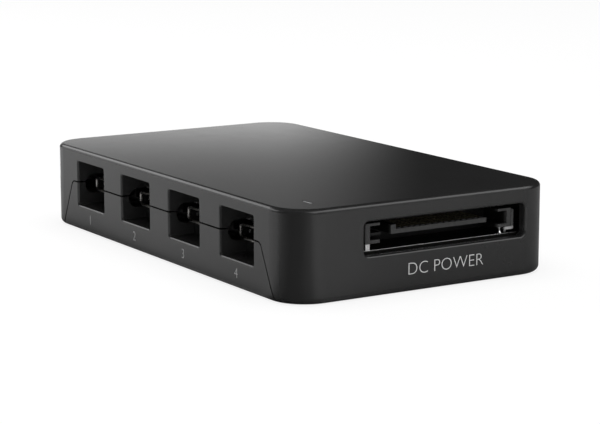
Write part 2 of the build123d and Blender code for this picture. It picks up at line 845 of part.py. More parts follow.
def control_nodes():
    """The row of control and supply parts, and the small chip parts behind it."""
    bulk_size = 2 * (bulk_radius + capacitor_base_margin)
    widths = [crystal_length, chip_span, regulator_length, inductor_length, bulk_size, fuse_length]
    crystal_x, chip_x, regulator_x, inductor_x, bulk_x, fuse_x = row_places(widths)
    chip, chip_leads = controller_chip(chip_x)
    regulator_body, regulator_leads = regulator(regulator_x)
    inductor_body, inductor_pads = inductor(inductor_x)
    bulk_base, bulk_can = can_capacitor(bulk_x, chip_row, bulk_radius)
    resistor_size = (resistor_length, resistor_width, resistor_height)
    ceramic_size = (ceramic_length, ceramic_width, ceramic_height)
    return {
        "crystal_can": crystal(crystal_x),
        "controller_chip": chip,
        "controller_chip_leads": chip_leads,
        "regulator_chip": regulator_body,
        "regulator_leads": regulator_leads,
        "inductor_body": inductor_body,
        "inductor_pads": inductor_pads,
        "bulk_capacitor_base": bulk_base,
        "bulk_capacitor_can": bulk_can,
        "input_fuse": box_at(fuse_x, chip_row, board_top, fuse_length, fuse_width, fuse_height),
        "chip_resistors": chip_parts(resistor_count, resistor_row, *resistor_size),
        "ceramic_capacitors": chip_parts(ceramic_count, ceramic_row, *ceramic_size),
    }


def build_nodes():
    """Every piece of the hub by the name of its node."""
    return case_nodes() | connector_nodes() | channel_nodes() | control_nodes()


def main():
    """Writes each node to its own STEP file."""
    os.makedirs("parts", exist_ok=True)
    for name, shape in build_nodes().items():
        export_step(shape, f"parts/{name}.step")


if __name__ == "__main__":
    main()
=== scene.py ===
"""Looks of the fan controller hub: its finishes, its printed marks and the studio around it.

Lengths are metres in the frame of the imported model. X runs along the row of fan ports, Y from the
front to the back and Z up. The origin is the middle of the underside.
"""
import logging
import math
from dataclasses import dataclass
from enum import Enum

import bpy
from mathutils import Matrix, Vector


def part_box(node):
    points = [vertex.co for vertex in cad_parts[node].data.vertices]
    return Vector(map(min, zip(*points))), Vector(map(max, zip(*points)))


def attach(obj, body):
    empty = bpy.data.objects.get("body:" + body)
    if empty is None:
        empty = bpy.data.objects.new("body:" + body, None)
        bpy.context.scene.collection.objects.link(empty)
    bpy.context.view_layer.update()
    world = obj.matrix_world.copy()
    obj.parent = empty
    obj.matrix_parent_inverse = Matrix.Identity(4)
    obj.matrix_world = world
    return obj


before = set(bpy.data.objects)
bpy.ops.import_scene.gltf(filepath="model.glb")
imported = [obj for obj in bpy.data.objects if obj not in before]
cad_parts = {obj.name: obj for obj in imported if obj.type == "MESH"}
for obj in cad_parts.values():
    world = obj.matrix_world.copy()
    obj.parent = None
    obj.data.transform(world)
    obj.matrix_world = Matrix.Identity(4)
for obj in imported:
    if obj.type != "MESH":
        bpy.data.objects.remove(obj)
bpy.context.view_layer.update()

BODY = "root"
MM = 0.001
PORTS = (1, 2, 3, 4)
SCREWS = (1, 2, 3, 4)
MERGE = 1e-7
SMOOTH_ANGLE = 35.0
PLASTIC_IOR = 1.5
RESIN_IOR = 1.49
THIN_NOISE, THICK_NOISE = 0.3, 0.7

Colour = tuple[float, float, float]
log = logging.getLogger("fan_hub")


def grey(value: float) -> Colour:
    """A neutral colour of one linear value."""
    return (value, value, value)


class Side(Enum):
    """The case walls that carry printing, by the directions in which it reads and faces."""

    FRONT = ((1, 0, 0), (0, 0, 1), (0, -1, 0))
    RIGHT = ((0, 1, 0), (0, 0, 1), (1, 0, 0))

    def turn(self) -> Matrix:
        """The turn from a flat text to this wall."""
        return Matrix(self.value).transposed().to_4x4()


class Graph:
    """A material's nodes while they are being wired."""

    def __init__(self, name: str) -> None:
        """Starts a material with an empty tree.

        Args:
            name: the material's name.
        """
        self.material = bpy.data.materials.new(name)
        self.material.use_nodes = True
        self.tree = self.material.node_tree
        self.tree.nodes.clear()
        self.output = self.add("ShaderNodeOutputMaterial")

    def add(self, kind: str, values: dict | None = None, **settings) -> bpy.types.Node:
        """Adds one node.

        Args:
            kind: the node's type.
            values: input sockets by name, with the numbers or colours that they hold.
            settings: the node's own properties.

        Returns:
            The new node.
        """
        node = self.tree.nodes.new(kind)
        for key, value in settings.items():
            setattr(node, key, value)
        for key, value in (values or {}).items():
            node.inputs[key].default_value = value
        return node

    def wire(self, source: bpy.types.NodeSocket, target: bpy.types.NodeSocket) -> None:
        """Joins an output to an input."""
        self.tree.links.new(source, target)

    def place(self) -> bpy.types.NodeSocket:
        """The point on the surface, in the model's frame."""
        return self.add("ShaderNodeTexCoord").outputs["Object"]

    def noise(
        self, size: float, detail: float = 2.0, stretch: Colour = (1, 1, 1)
    ) -> bpy.types.NodeSocket:
        """Cloudy noise between 0 and 1.

        Args:
            size: how large a patch is, in metres.
            detail: how many finer layers it has.
            stretch: how much finer it is along each axis.

        Returns:
            The noise value's socket.
        """
        mapping = self.add("ShaderNodeMapping", {"Scale": stretch})
        self.wire(self.place(), mapping.inputs["Vector"])
        node = self.add("ShaderNodeTexNoise", {"Scale": 1 / size, "Detail": detail})
        self.wire(mapping.outputs["Vector"], node.inputs["Vector"])
        return node.outputs["Fac"]

    def span(self, value: bpy.types.NodeSocket, low: float, high: float) -> bpy.types.NodeSocket:
        """Stretches the middle half of a noise over a range.

        Args:
            value: the noise.
            low: what it gives where the noise is thin.
            high: what it gives where the noise is thick.

        Returns:
            The stretched value's socket.
        """
        ends = {"From Min": THIN_NOISE, "From Max": THICK_NOISE, "To Min": low, "To Max": high}
        node = self.add("ShaderNodeMapRange", ends)
        self.wire(value, node.inputs["Value"])
        return node.outputs["Result"]

    def along(self, axis: str, start: float, full: float) -> bpy.types.NodeSocket:
        """A share that rises along an axis of the model.

        Args:
            axis: the axis, X, Y or Z.
            start: where it begins, in metres.
            full: where it is 1.

        Returns:
            The share's socket.
        """
        split = self.add("ShaderNodeSeparateXYZ")
        self.wire(self.place(), split.inputs["Vector"])
        ends = {"From Min": start, "From Max": full}
        rise = self.add("ShaderNodeMapRange", ends, interpolation_type="SMOOTHSTEP")
        self.wire(split.outputs[axis], rise.inputs["Value"])
        return rise.outputs["Result"]

    def blend(self, share, first, second) -> bpy.types.NodeSocket:
        """Mixes two colours.

        Args:
            share: the socket that says how much of the second shows.
            first: a colour, or a socket that gives one.
            second: a colour, or a socket that gives one.

        Returns:
            The mixed colour's socket.
        """
        node = self.add("ShaderNodeMix", data_type="RGBA")
        self.wire(share, node.inputs["Factor"])
        for name, colour in (("A", first), ("B", second)):
            target = next(s for s in node.inputs if s.name == name and s.type == "RGBA")
            if isinstance(colour, bpy.types.NodeSocket):
                self.wire(colour, target)
            else:
                target.default_value = (*colour, 1.0)
        return next(s for s in node.outputs if s.type == "RGBA")

    def tint(self, first: bpy.types.NodeSocket, second: bpy.types.NodeSocket) -> bpy.types.NodeSocket:
        """Multiplies two colours.

        Args:
            first: a colour's socket.
            second: another colour's socket.

        Returns:
            The product's socket.
        """
        node = self.add("ShaderNodeMix", data_type="RGBA", blend_type="MULTIPLY")
        sockets = [s for s in node.inputs if s.type == "RGBA"]
        node.inputs["Factor"].default_value = 1.0
        self.wire(first, sockets[0])
        self.wire(second, sockets[1])
        return next(s for s in node.outputs if s.type == "RGBA")

    def math(self, kind: str, first, second=0.0) -> bpy.types.NodeSocket:
        """One sum on two values.

        Args:
            kind: the sum.
            first: a number or a socket.
            second: a number or a socket.

        Returns:
            The result's socket.
        """
        node = self.add("ShaderNodeMath", operation=kind)
        for target, value in zip(node.inputs, (first, second)):
            if isinstance(value, bpy.types.NodeSocket):
                self.wire(value, target)
            else:
                target.default_value = value
        return node.outputs["Value"]

    def ramp(
        self, value: bpy.types.NodeSocket, stops: list[tuple[float, float]]
    ) -> bpy.types.NodeSocket:
        """A smooth ramp of greys.

        Args:
            value: where on the ramp to look.
            stops: pairs of place and grey.

        Returns:
            The ramp's colour socket.
        """
        node = self.add("ShaderNodeValToRGB")
        node.color_ramp.interpolation = "EASE"
        points = node.color_ramp.elements
        while len(points) < len(stops):
            points.new(1.0)
        for point, (at, tone) in zip(points, stops):
            point.position = at
            point.color = (*grey(tone), 1.0)
        self.wire(value, node.inputs["Fac"])
        return node.outputs["Color"]

    def bump(self, height: bpy.types.NodeSocket, depth: float) -> bpy.types.NodeSocket:
        """Raises the surface by a height pattern.

        Args:
            height: the pattern.
            depth: how deep it is, in metres.

        Returns:
            The normal's socket.
        """
        node = self.add("ShaderNodeBump", {"Strength": 1.0, "Distance": depth})
        self.wire(height, node.inputs["Height"])
        return node.outputs["Normal"]

    def surface(self, **values) -> bpy.types.Node:
        """The surface shader, with plain numbers set and sockets wired.

        Args:
            values: shader inputs, named with underscores for spaces.

        Returns:
            The shader node.
        """
        node = self.add("ShaderNodeBsdfPrincipled")
        for key, value in values.items():
            target = node.inputs[key.replace("_", " ")]
            if isinstance(value, bpy.types.NodeSocket):
                self.wire(value, target)
            else:
                target.default_value = (*value, 1.0) if isinstance(value, tuple) else value
        self.wire(node.outputs["BSDF"], self.output.inputs["Surface"])
        return node

    def glow_through(self, power: bpy.types.NodeSocket) -> None:
        """Makes the surface a glow that hides nothing behind it.

        Args:
            power: how strong the glow is.
        """
        glow = self.add("ShaderNodeEmission")
        clear = self.add("ShaderNodeBsdfTransparent")
        both = self.add("ShaderNodeAddShader")
        self.wire(power, glow.inputs["Strength"])
        self.wire(glow.outputs["Emission"], both.inputs[0])
        self.wire(clear.outputs["BSDF"], both.inputs[1])
        self.wire(both.outputs["Shader"], self.output.inputs["Surface"])


@dataclass(frozen=True)
class MouldedPlastic:
    """Moulded plastic: a fine spark-eroded grain over slow changes of tone and gloss."""

    name: str
    dark: Colour
    light: Colour
    roughness: float
    spread: float
    grain: float
    depth: float
    cloud: float = 9 * MM
    shine: float = 0.5

    def material(self) -> bpy.types.Material:
        """Builds the material."""
        g = Graph(self.name)
        cloud = g.noise(self.cloud, 3.0)
        fine = g.noise(self.grain, 1.0)
        colour = g.blend(g.span(cloud, 0.0, 1.0), self.dark, self.light)
        patches = g.noise(self.cloud / 3, 4.0)
        gloss = g.span(patches, self.roughness - self.spread, self.roughness + self.spread)
        look = {"Roughness": gloss, "Normal": g.bump(fine, self.depth)}
        g.surface(Base_Color=colour, IOR=PLASTIC_IOR, Specular_IOR_Level=self.shine, **look)
        return g.material


@dataclass(frozen=True)
class RecessShadedNylon:
    """Dull black nylon, paler at the front of the opening and painted darker inwards along X as shade."""

    name: str
    deep: Colour
    front_tone: Colour
    start: float
    full: float
    roughness: float = 0.45
    spread: float = 0.05
    shine: float = 0.15

    def material(self) -> bpy.types.Material:
        """Builds the material."""
        g = Graph(self.name)
        uneven = g.span(g.noise(0.4 * MM, 3.0), 0.8, 1.0)
        # painted shade: the colour darkens from the front of the plug towards the inside of the opening, a
        # little unevenly
        share = g.math("MULTIPLY", g.along("X", self.start, self.full), uneven)
        colour = g.blend(share, self.deep, self.front_tone)
        gloss = g.span(g.noise(0.5 * MM, 4.0), self.roughness - self.spread, self.roughness + self.spread)
        look = {"Roughness": gloss, "Normal": g.bump(g.noise(0.09 * MM, 1.0), 0.002 * MM)}
        g.surface(Base_Color=colour, IOR=PLASTIC_IOR, Specular_IOR_Level=self.shine, **look)
        return g.material


@dataclass(frozen=True)
class TarnishedMetalDarkerAlong:
    """Plated metal mottled dull with age, and darker beyond one place along an axis."""

    name: str
    bright: Colour
    dull: Colour
    dark_end: Colour
    axis: str
    start: float
    full: float
    metal: float
    glossy: float = 0.26
    matt: float = 0.4

    def material(self) -> bpy.types.Material:
        """Builds the material."""
        g = Graph(self.name)
        plated = g.blend(g.span(g.noise(1.2 * MM, 4.0), 0.0, 1.0), self.bright, self.dull)
        lines = g.noise(0.2 * MM, 2.0, (0.2, 1.0, 1.0))
        # darker beyond one place along the axis: painted shade on the contact tips, a plain darker top on
        # the blade
        colour = g.blend(g.along(self.axis, self.start, self.full), plated, self.dark_end)
        gloss = g.span(lines, self.glossy, self.matt)
        normal = g.bump(lines, 0.002 * MM)
        g.surface(Base_Color=colour, Metallic=self.metal, Roughness=gloss, Normal=normal)
        return g.material


@dataclass(frozen=True)
class PlatedMetal:
    """Plated sheet metal: drawn along one way, a little duller where it was handled."""

    name: str
    bright: Colour
    dull: Colour
    roughness: float
    spread: float
    drawn: Colour = (1.0, 1.0, 1.0)
    line: float = 0.25 * MM
    depth: float = 0.002 * MM

    def material(self) -> bpy.types.Material:
        """Builds the material."""
        g = Graph(self.name)
        stain = g.span(g.noise(1.4 * MM, 4.0), 0.0, 1.0)
        lines = g.noise(self.line, 2.0, self.drawn)
        gloss = g.span(lines, self.roughness - self.spread, self.roughness + self.spread)
        colour = g.blend(stain, self.bright, self.dull)
        g.surface(Base_Color=colour, Metallic=1.0, Roughness=gloss, Normal=g.bump(lines, self.depth))
        return g.material


@dataclass(frozen=True)
class LacqueredBoard:
    """Circuit board: lacquer over copper lines on its faces, uncoated resin and glass on its edges."""

    name: str
    lacquer: Colour
    copper_shadow: Colour
    resin: Colour
    weave: Colour
    line_cell: float = 2.6 * MM
    lines_per_cell: float = 3.0
    gap_share: float = 0.55
    line_height: float = 0.006 * MM
    shine: float = 0.15

    def material(self) -> bpy.types.Material:
        """Builds the material."""
        g = Graph(self.name)
        scale = {"Scale": 1 / self.line_cell}
        cells = g.add("ShaderNodeTexVoronoi", scale, feature="F1", distance="CHEBYCHEV")
        g.wire(g.place(), cells.inputs["Vector"])
        rings = g.math("FRACT", g.math("MULTIPLY", cells.outputs["Distance"], self.lines_per_cell))
        lines = g.math("GREATER_THAN", rings, self.gap_share)
        face = g.blend(lines, self.lacquer, self.copper_shadow)
        glass = g.span(g.noise(0.35 * MM, 2.0, (0.3, 0.3, 4.0)), 0.0, 1.0)
        edge = g.blend(glass, self.resin, self.weave)
        facing = g.add("ShaderNodeSeparateXYZ")
        g.wire(g.add("ShaderNodeNewGeometry").outputs["Normal"], facing.inputs["Vector"])
        flat = g.math("GREATER_THAN", g.math("ABSOLUTE", facing.outputs["Z"]), 0.5)
        colour = g.blend(flat, edge, face)
        gloss = g.span(g.noise(4 * MM), 0.28, 0.4)
        look = {"Roughness": gloss, "Normal": g.bump(lines, self.line_height)}
        g.surface(Base_Color=colour, IOR=PLASTIC_IOR, Specular_IOR_Level=self.shine, **look)
        return g.material


@dataclass(frozen=True)
class CloudyResin:
    """Light-guide resin: milky, with some light passing straight through."""

    name: str
    tint: Colour
    roughness: float
    clear: float

    def material(self) -> bpy.types.Material:
        """Builds the material."""
        g = Graph(self.name)
        haze = g.span(g.noise(0.4 * MM, 3.0), self.roughness, self.roughness * 2)
        g.surface(Base_Color=self.tint, Roughness=haze, Transmission_Weight=self.clear, IOR=RESIN_IOR)
        return g.material


@dataclass(frozen=True)
class PrintedInk:
    """Pad-printed ink, slightly uneven in its cover."""

    name: str
    full: Colour
    thin: Colour
    roughness: float = 0.45

    def material(self) -> bpy.types.Material:
        """Builds the material."""
        g = Graph(self.name)
        cover = g.span(g.noise(0.12 * MM, 3.0), 0.0, 1.0)
        colour = g.blend(cover, self.full, self.thin)
        g.surface(Base_Color=colour, Roughness=self.roughness, IOR=PLASTIC_IOR)
        return g.material


@dataclass(frozen=True)
class EndCapped:
    """Small chip part: a fired body between two tinned end caps, repeated along X."""

    name: str
    body: Colour
    mottle: Colour
    node: str
    length: float
    pitch: float
    cap: float
    cap_tin: Colour = (0.62, 0.62, 0.62)

    def material(self) -> bpy.types.Material:
        """Builds the material."""
        g = Graph(self.name)
        low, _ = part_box(self.node)
        along = g.add("ShaderNodeSeparateXYZ")
        g.wire(g.place(), along.inputs["Vector"])
        turns = g.math("DIVIDE", g.math("SUBTRACT", along.outputs["X"], low.x), self.pitch)
        offset = g.math("MULTIPLY", g.math("FRACT", turns), self.pitch)
        middle = g.math("ABSOLUTE", g.math("SUBTRACT", offset, self.length / 2))
        tinned = g.math("GREATER_THAN", middle, self.length / 2 - self.cap)
        grain = g.span(g.noise(0.15 * MM, 3.0), 0.0, 1.0)
        colour = g.blend(tinned, g.blend(grain, self.body, self.mottle), self.cap_tin)
        gloss = g.span(g.noise(0.3 * MM), 0.3, 0.5)
        g.surface(Base_Color=colour, Metallic=tinned, Roughness=gloss)
        return g.material


CASE = MouldedPlastic(
    "satin_black_case", grey(0.0155), grey(0.0175), 0.22, 0.006, 0.16 * MM, 0.0005 * MM
)
CONNECTOR = MouldedPlastic(
    "filled_nylon", grey(0.035), grey(0.05), 0.42, 0.05, 0.09 * MM, 0.002 * MM, 1.5 * MM
)
# The plug's nylon, painted darker deeper inside the power opening as shade.
PLUG = RecessShadedNylon("plug_nylon", grey(0.004), grey(0.052), 44.9 * MM, 45.75 * MM)
# Socket nylon painted near-black, far darker than the connector nylon, as shade deep inside the fan ports.
SHADED_SOCKET = MouldedPlastic(
    "shaded_socket_nylon", grey(0.004), grey(0.007), 0.5, 0.05, 0.09 * MM, 0.002 * MM, 1.5 * MM, 0.2
)
EPOXY = MouldedPlastic(
    "chip_epoxy", grey(0.012), grey(0.02), 0.55, 0.05, 0.06 * MM, 0.004 * MM, 1.2 * MM
)
FERRITE = MouldedPlastic(
    "pressed_ferrite", grey(0.03), grey(0.06), 0.6, 0.06, 0.12 * MM, 0.006 * MM, 0.8 * MM
)
LAMP = MouldedPlastic(
    "lamp_phosphor", (0.75, 0.72, 0.3), (0.8, 0.78, 0.42), 0.35, 0.05, 0.1 * MM, 0.002 * MM, 0.5 * MM
)
FUSE = MouldedPlastic(
    "fuse_resin", (0.03, 0.08, 0.035), (0.05, 0.12, 0.05), 0.4, 0.05, 0.1 * MM, 0.003 * MM, 0.8 * MM
)
GOLD = PlatedMetal("gold_flash", (0.72, 0.55, 0.24), (0.5, 0.36, 0.15), 0.3, 0.06, (0.2, 1.0, 1.0))
# Contacts: their front tips, beyond X 45.3 mm, are painted dark as shade.
CONTACT = TarnishedMetalDarkerAlong(
    "stamped_contact", (0.2, 0.19, 0.12), (0.16, 0.13, 0.09), grey(0.03), "X", 44.5 * MM, 45.3 * MM, 0.5
)
# Blade: darker above a height of about 9.1 mm.
BLADE = TarnishedMetalDarkerAlong("plug_blade", grey(0.78), grey(0.6), grey(0.16), "Z", 9.02 * MM, 9.12 * MM, 1.0)
RIM = PlatedMetal("dark_nickel", (0.4, 0.39, 0.37), (0.3, 0.29, 0.28), 0.3, 0.06)
TIN = PlatedMetal("bright_tin", grey(0.78), grey(0.6), 0.3, 0.07)
STEEL = PlatedMetal("blackened_steel", grey(0.1), grey(0.06), 0.36, 0.06)
NICKEL = PlatedMetal(
    "nickel_shell", (0.66, 0.64, 0.6), (0.5, 0.48, 0.45), 0.28, 0.06, (0.15, 1.0, 1.0)
)
ALUMINIUM = PlatedMetal("drawn_aluminium", grey(0.82), grey(0.7), 0.32, 0.06, (1.0, 1.0, 0.1))
CRYSTAL = PlatedMetal("crystal_can", grey(0.7), grey(0.55), 0.26, 0.05)
# The board's lacquer, resin and glass are painted near-black, as shade where the board shows through the
# port slots and the power opening.
BOARD = LacqueredBoard(
    "black_board",
    (0.0022, 0.0028, 0.0024), (0.004, 0.005, 0.0042), (0.002, 0.002, 0.0018), (0.004, 0.0038, 0.003),
)
MILKY = CloudyResin("light_pipe_resin", (0.56, 0.57, 0.58), 0.16, 0.15)
LABEL_INK = PrintedInk("label_ink", grey(0.62), grey(0.52))
NUMBER_INK = PrintedInk("number_ink", grey(0.36), grey(0.28))
RESISTOR = EndCapped(
    "resistor_chip", grey(0.012), grey(0.022), "chip_resistors", 1.6 * MM, 3.2 * MM, 0.3 * MM
)
CERAMIC = EndCapped(
    "ceramic_chip", (0.3, 0.2, 0.11), (0.36, 0.25, 0.15), "ceramic_capacitors", 2.0 * MM, 3.6 * MM, 0.4 * MM
)


class Workshop:
    """Makes each finish once and puts it on pieces."""

    def __init__(self) -> None:
        """Starts with no finish made."""
        self.made: dict[str, bpy.types.Material] = {}

    def paint(self, piece: bpy.types.Object, finish) -> None:
        """Gives a piece one finish.

        Args:
            piece: the mesh object.
            finish: what it is finished in.
        """
        if finish.name not in self.made:
            self.made[finish.name] = finish.material()
        piece.data.materials.clear()
        piece.data.materials.append(self.made[finish.name])
        log.info("%s is finished in %s", piece.name, finish.name)

    def dress(self, names: list[str], finish) -> None:
        """Gives CAD nodes one finish.

        Args:
            names: the nodes.
            finish: what they are finished in.
        """
        for name in names:
            self.paint(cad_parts[name], finish)


def deselect() -> None:
    """Leaves nothing selected."""
    bpy.ops.object.select_all(action="DESELECT")


def add_modifier(piece: bpy.types.Object, kind: str, **settings) -> None:
    """Puts one modifier on a piece and applies it.

    Args:
        piece: the mesh object.
        kind: the modifier's type.
        settings: its properties.
    """
    modifier = piece.modifiers.new(kind.lower(), kind)
    for key, value in settings.items():
        setattr(modifier, key, value)
    deselect()
    piece.select_set(True)
    bpy.context.view_layer.objects.active = piece
    bpy.ops.object.modifier_apply(modifier=modifier.name)


def outward(piece: bpy.types.Object) -> None:
    """Merges doubled points and turns every face outwards."""
    deselect()
    piece.select_set(True)
    bpy.context.view_layer.objects.active = piece
    bpy.ops.object.mode_set(mode="EDIT")
    bpy.ops.mesh.select_all(action="SELECT")
    bpy.ops.mesh.remove_doubles(threshold=MERGE)
    bpy.ops.mesh.normals_make_consistent(inside=False)
    bpy.ops.object.mode_set(mode="OBJECT")


def smooth(piece: bpy.types.Object) -> None:
    """Shades a piece smooth across its roundings."""
    deselect()
    piece.select_set(True)
    bpy.context.view_layer.objects.active = piece
    bpy.ops.object.shade_smooth_by_angle(angle=math.radians(SMOOTH_ANGLE))


def settle(piece: bpy.types.Object) -> bpy.types.Object:
    """Fixes a finished piece in the model.

    Args:
        piece: the mesh object, with its place in its mesh.

    Returns:
        The same piece.
    """
    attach(piece, BODY)
    log.info("%s has %d faces", piece.name, len(piece.data.polygons))
    return piece


@dataclass
class PrintedMark:
    """Thin lettering printed on a wall."""

    name: str
    words: str
    side: Side
    middle: Vector
    cap_height: float
    thinning: float
    ink: PrintedInk
    proud: float = 0.008 * MM
    depth: float = 0.02 * MM

    def build(self, shop: Workshop) -> bpy.types.Object:
        """Writes the words, makes them a mesh and sets them on the wall.

        Args:
            shop: where finishes are made.

        Returns:
            The printed piece.
        """
        deselect()
        bpy.ops.object.text_add()
        piece = bpy.context.object
        piece.name = self.name
        text = piece.data
        text.body = self.words
        text.offset = -self.thinning
        text.extrude = 0.01
        text.resolution_u = 6
        bpy.ops.object.convert(target="MESH")
        piece = bpy.context.object
        corners = [Vector(c) for c in piece.bound_box]
        low = Vector(map(min, *corners))
        high = Vector(map(max, *corners))
        scale = self.cap_height / (high.y - low.y)
        flat = Matrix.Diagonal((scale, scale, (self.proud + self.depth) / (high.z - low.z), 1.0))
        lift = (self.proud - self.depth) / 2
        centre = Matrix.Translation(-(low + high) / 2)
        out = Matrix.Translation(self.middle) @ self.side.turn() @ Matrix.Translation((0, 0, lift))
        piece.data.transform(out @ flat @ centre)
        piece.data.update()
        shop.paint(piece, self.ink)
        return settle(piece)


@dataclass
class CaseShells:
    """The two shells, their screws and the print on them."""

    label: str = "DC POWER"
    label_middle: Vector = Vector((48.0, 3.87, 4.22)) * MM
    label_height: float = 2.1 * MM
    label_thinning: float = 0.022
    number_height: float = 1.75 * MM
    number_thinning: float = 0.014
    number_level: float = 2.9 * MM
    number_places: tuple[float, ...] = (-28.7 * MM, -9.5 * MM, 10.0 * MM, 29.5 * MM)
    front: float = -28.4 * MM

    def build(self, shop: Workshop) -> None:
        """Prints the label and the port numbers."""
        size = (self.label_height, self.label_thinning)
        PrintedMark("power_label", self.label, Side.RIGHT, self.label_middle, *size, LABEL_INK).build(shop)
        for number, x in zip(PORTS, self.number_places):
            name, middle = f"port_number_{number}", Vector((x, self.front, self.number_level))
            size = (self.number_height, self.number_thinning)
            PrintedMark(name, str(number), Side.FRONT, middle, *size, NUMBER_INK).build(shop)

    def dress(self, shop: Workshop) -> None:
        """Finishes the shells and screws."""
        shop.dress(["top_cover", "base_cover"], CASE)
        shop.dress([f"case_screw_{n}" for n in SCREWS], STEEL)


def copy_piece(piece: bpy.types.Object, name: str, shift: Vector) -> bpy.types.Object:
    """Copies a piece with a mesh of its own.

    Args:
        piece: the finished piece.
        name: the copy's name.
        shift: how far the copy stands from the piece.

    Returns:
        The copy.
    """
    twin = piece.copy()
    twin.data = piece.data.copy()
    twin.name = name
    twin.data.transform(Matrix.Translation(shift))
    bpy.context.collection.objects.link(twin)
    return twin


@dataclass
class SocketRims:
    """The rolled metal rims round the mouths of the fan sockets."""

    centres: tuple[float, ...] = (-28.325 * MM, -8.975 * MM, 10.375 * MM, 29.725 * MM)
    front: float = -24.425 * MM
    level: float = 9.3 * MM
    width: float = 10.86 * MM
    height: float = 2.76 * MM
    wall: float = 0.42 * MM
    depth: float = 0.45 * MM
    rolled: float = 0.36 * MM
    corner: float = 0.85 * MM
    points: int = 36

    def ring(self, name: str) -> bpy.types.Object:
        """Draws one flat round-cornered ring, gives it its depth and rolls its inner lip.

        Args:
            name: the piece's name.

        Returns:
            The rim, in the place of the first socket.
        """
        deselect()
        bpy.ops.mesh.primitive_circle_add(vertices=self.points, radius=self.corner, fill_type="NGON")
        piece = bpy.context.object
        piece.name = name
        piece.data.transform(Matrix.Rotation(math.pi / self.points, 4, "Z"))
        across, upright = self.width / 2 - self.corner, self.height / 2 - self.corner
        for vertex in piece.data.vertices:
            vertex.co.x += math.copysign(across, vertex.co.x)
            vertex.co.y += math.copysign(upright, vertex.co.y)
        bpy.ops.object.mode_set(mode="EDIT")
        bpy.ops.mesh.select_all(action="SELECT")
        bpy.ops.mesh.inset(thickness=self.wall, depth=0.0)
        bpy.ops.mesh.delete(type="FACE")
        bpy.ops.object.mode_set(mode="OBJECT")
        add_modifier(piece, "SOLIDIFY", thickness=self.depth, offset=0.0)
        self.roll_lip(piece, across, upright)
        stand = Matrix(((1, 0, 0), (0, 0, 1), (0, -1, 0))).transposed().to_4x4()
        middle = Vector((self.centres[0], self.front, self.level))
        piece.data.transform(Matrix.Translation(middle) @ stand)
        outward(piece)
        smooth(piece)
        return piece

    def roll_lip(self, piece: bpy.types.Object, across: float, upright: float) -> None:
        """Rounds the inner edge of the ring's front.

        Args:
            piece: the flat ring, with its front upwards.
            across: how far the middles of its corners stand to the side.
            upright: how far they stand up or down.
        """
        bpy.ops.object.mode_set(mode="EDIT")
        bpy.ops.mesh.select_mode(type="EDGE")
        bpy.ops.mesh.select_all(action="DESELECT")
        bpy.ops.object.mode_set(mode="OBJECT")
        middle_of_wall = self.corner - self.wall / 2

        def inner_front(index: int) -> bool:
            """Says whether a point lies on the inner edge of the front."""
            place = piece.data.vertices[index].co
            out = math.hypot(max(abs(place.x) - across, 0.0), max(abs(place.y) - upright, 0.0))
            return place.z > 0 and out < middle_of_wall

        for edge in piece.data.edges:
            edge.select = all(inner_front(index) for index in edge.vertices)
        bpy.ops.object.mode_set(mode="EDIT")
        bpy.ops.mesh.bevel(offset=self.rolled, segments=6, affect="EDGES")
        bpy.ops.object.mode_set(mode="OBJECT")

    def build(self, shop: Workshop) -> None:
        """Makes the first rim and copies it to the other sockets.

        Args:
            shop: where finishes are made.
        """
        first = self.ring("fan_socket_rim_1")
        shop.paint(first, RIM)
        rims = [first]
        for number, x in zip(PORTS[1:], self.centres[1:]):
            shift = Vector((x - self.centres[0], 0.0, 0.0))
            rims.append(copy_piece(first, f"fan_socket_rim_{number}", shift))
        for rim in rims:
            settle(rim)


@dataclass
class BoardEdge:
    """The tinned strip along the upper corner of the board's right-hand edge."""

    low: Vector = Vector((45.8, -13.4, 7.765)) * MM
    high: Vector = Vector((45.84, 21.1, 7.85)) * MM
    rounding: float = 0.015 * MM

    def build(self, shop: Workshop) -> bpy.types.Object:
        """Lays the strip on the edge.

        Args:
            shop: where finishes are made.

        Returns:
            The strip.
        """
        deselect()
        bpy.ops.mesh.primitive_cube_add(size=1.0)
        piece = bpy.context.object
        piece.name = "board_edge_strip"
        size = self.high - self.low
        piece.data.transform(Matrix.Translation((self.low + self.high) / 2) @ Matrix.Diagonal((*size, 1.0)))
        add_modifier(piece, "BEVEL", width=self.rounding, segments=3, limit_method="ANGLE")
        outward(piece)
        smooth(piece)
        shop.paint(piece, TIN)
        return settle(piece)


@dataclass
class SolderPost:
    """A post soldered to the board under the plug's right-hand arm, in a cone of solder."""

    foot: Vector = Vector((45.25, 17.58, 7.9)) * MM
    rings: tuple[tuple[float, float], ...] = (
        (0.5, 0.0), (0.36, 0.16), (0.24, 0.4), (0.18, 0.7), (0.18, 1.1),
    )
    points: int = 24

    def build(self, shop: Workshop) -> bpy.types.Object:
        """Raises the post ring by ring from the wide foot of its solder.

        Args:
            shop: where finishes are made.

        Returns:
            The post.
        """
        deselect()
        radius, level = self.rings[0]
        bpy.ops.mesh.primitive_circle_add(vertices=self.points, radius=radius * MM, fill_type="NGON")
        piece = bpy.context.object
        piece.name = "plug_solder_post"
        bpy.ops.object.mode_set(mode="EDIT")
        bpy.ops.mesh.select_all(action="SELECT")
        for next_radius, next_level in self.rings[1:]:
            rise = (0.0, 0.0, (next_level - level) * MM)
            bpy.ops.mesh.extrude_region_move(TRANSFORM_OT_translate={"value": rise})
            shrink = next_radius / radius
            bpy.ops.transform.resize(value=(shrink, shrink, 1.0))
            radius, level = next_radius, next_level
        bpy.ops.object.mode_set(mode="OBJECT")
        piece.data.transform(Matrix.Translation(self.foot))
        outward(piece)
        smooth(piece)
        shop.paint(piece, TIN)
        return settle(piece)


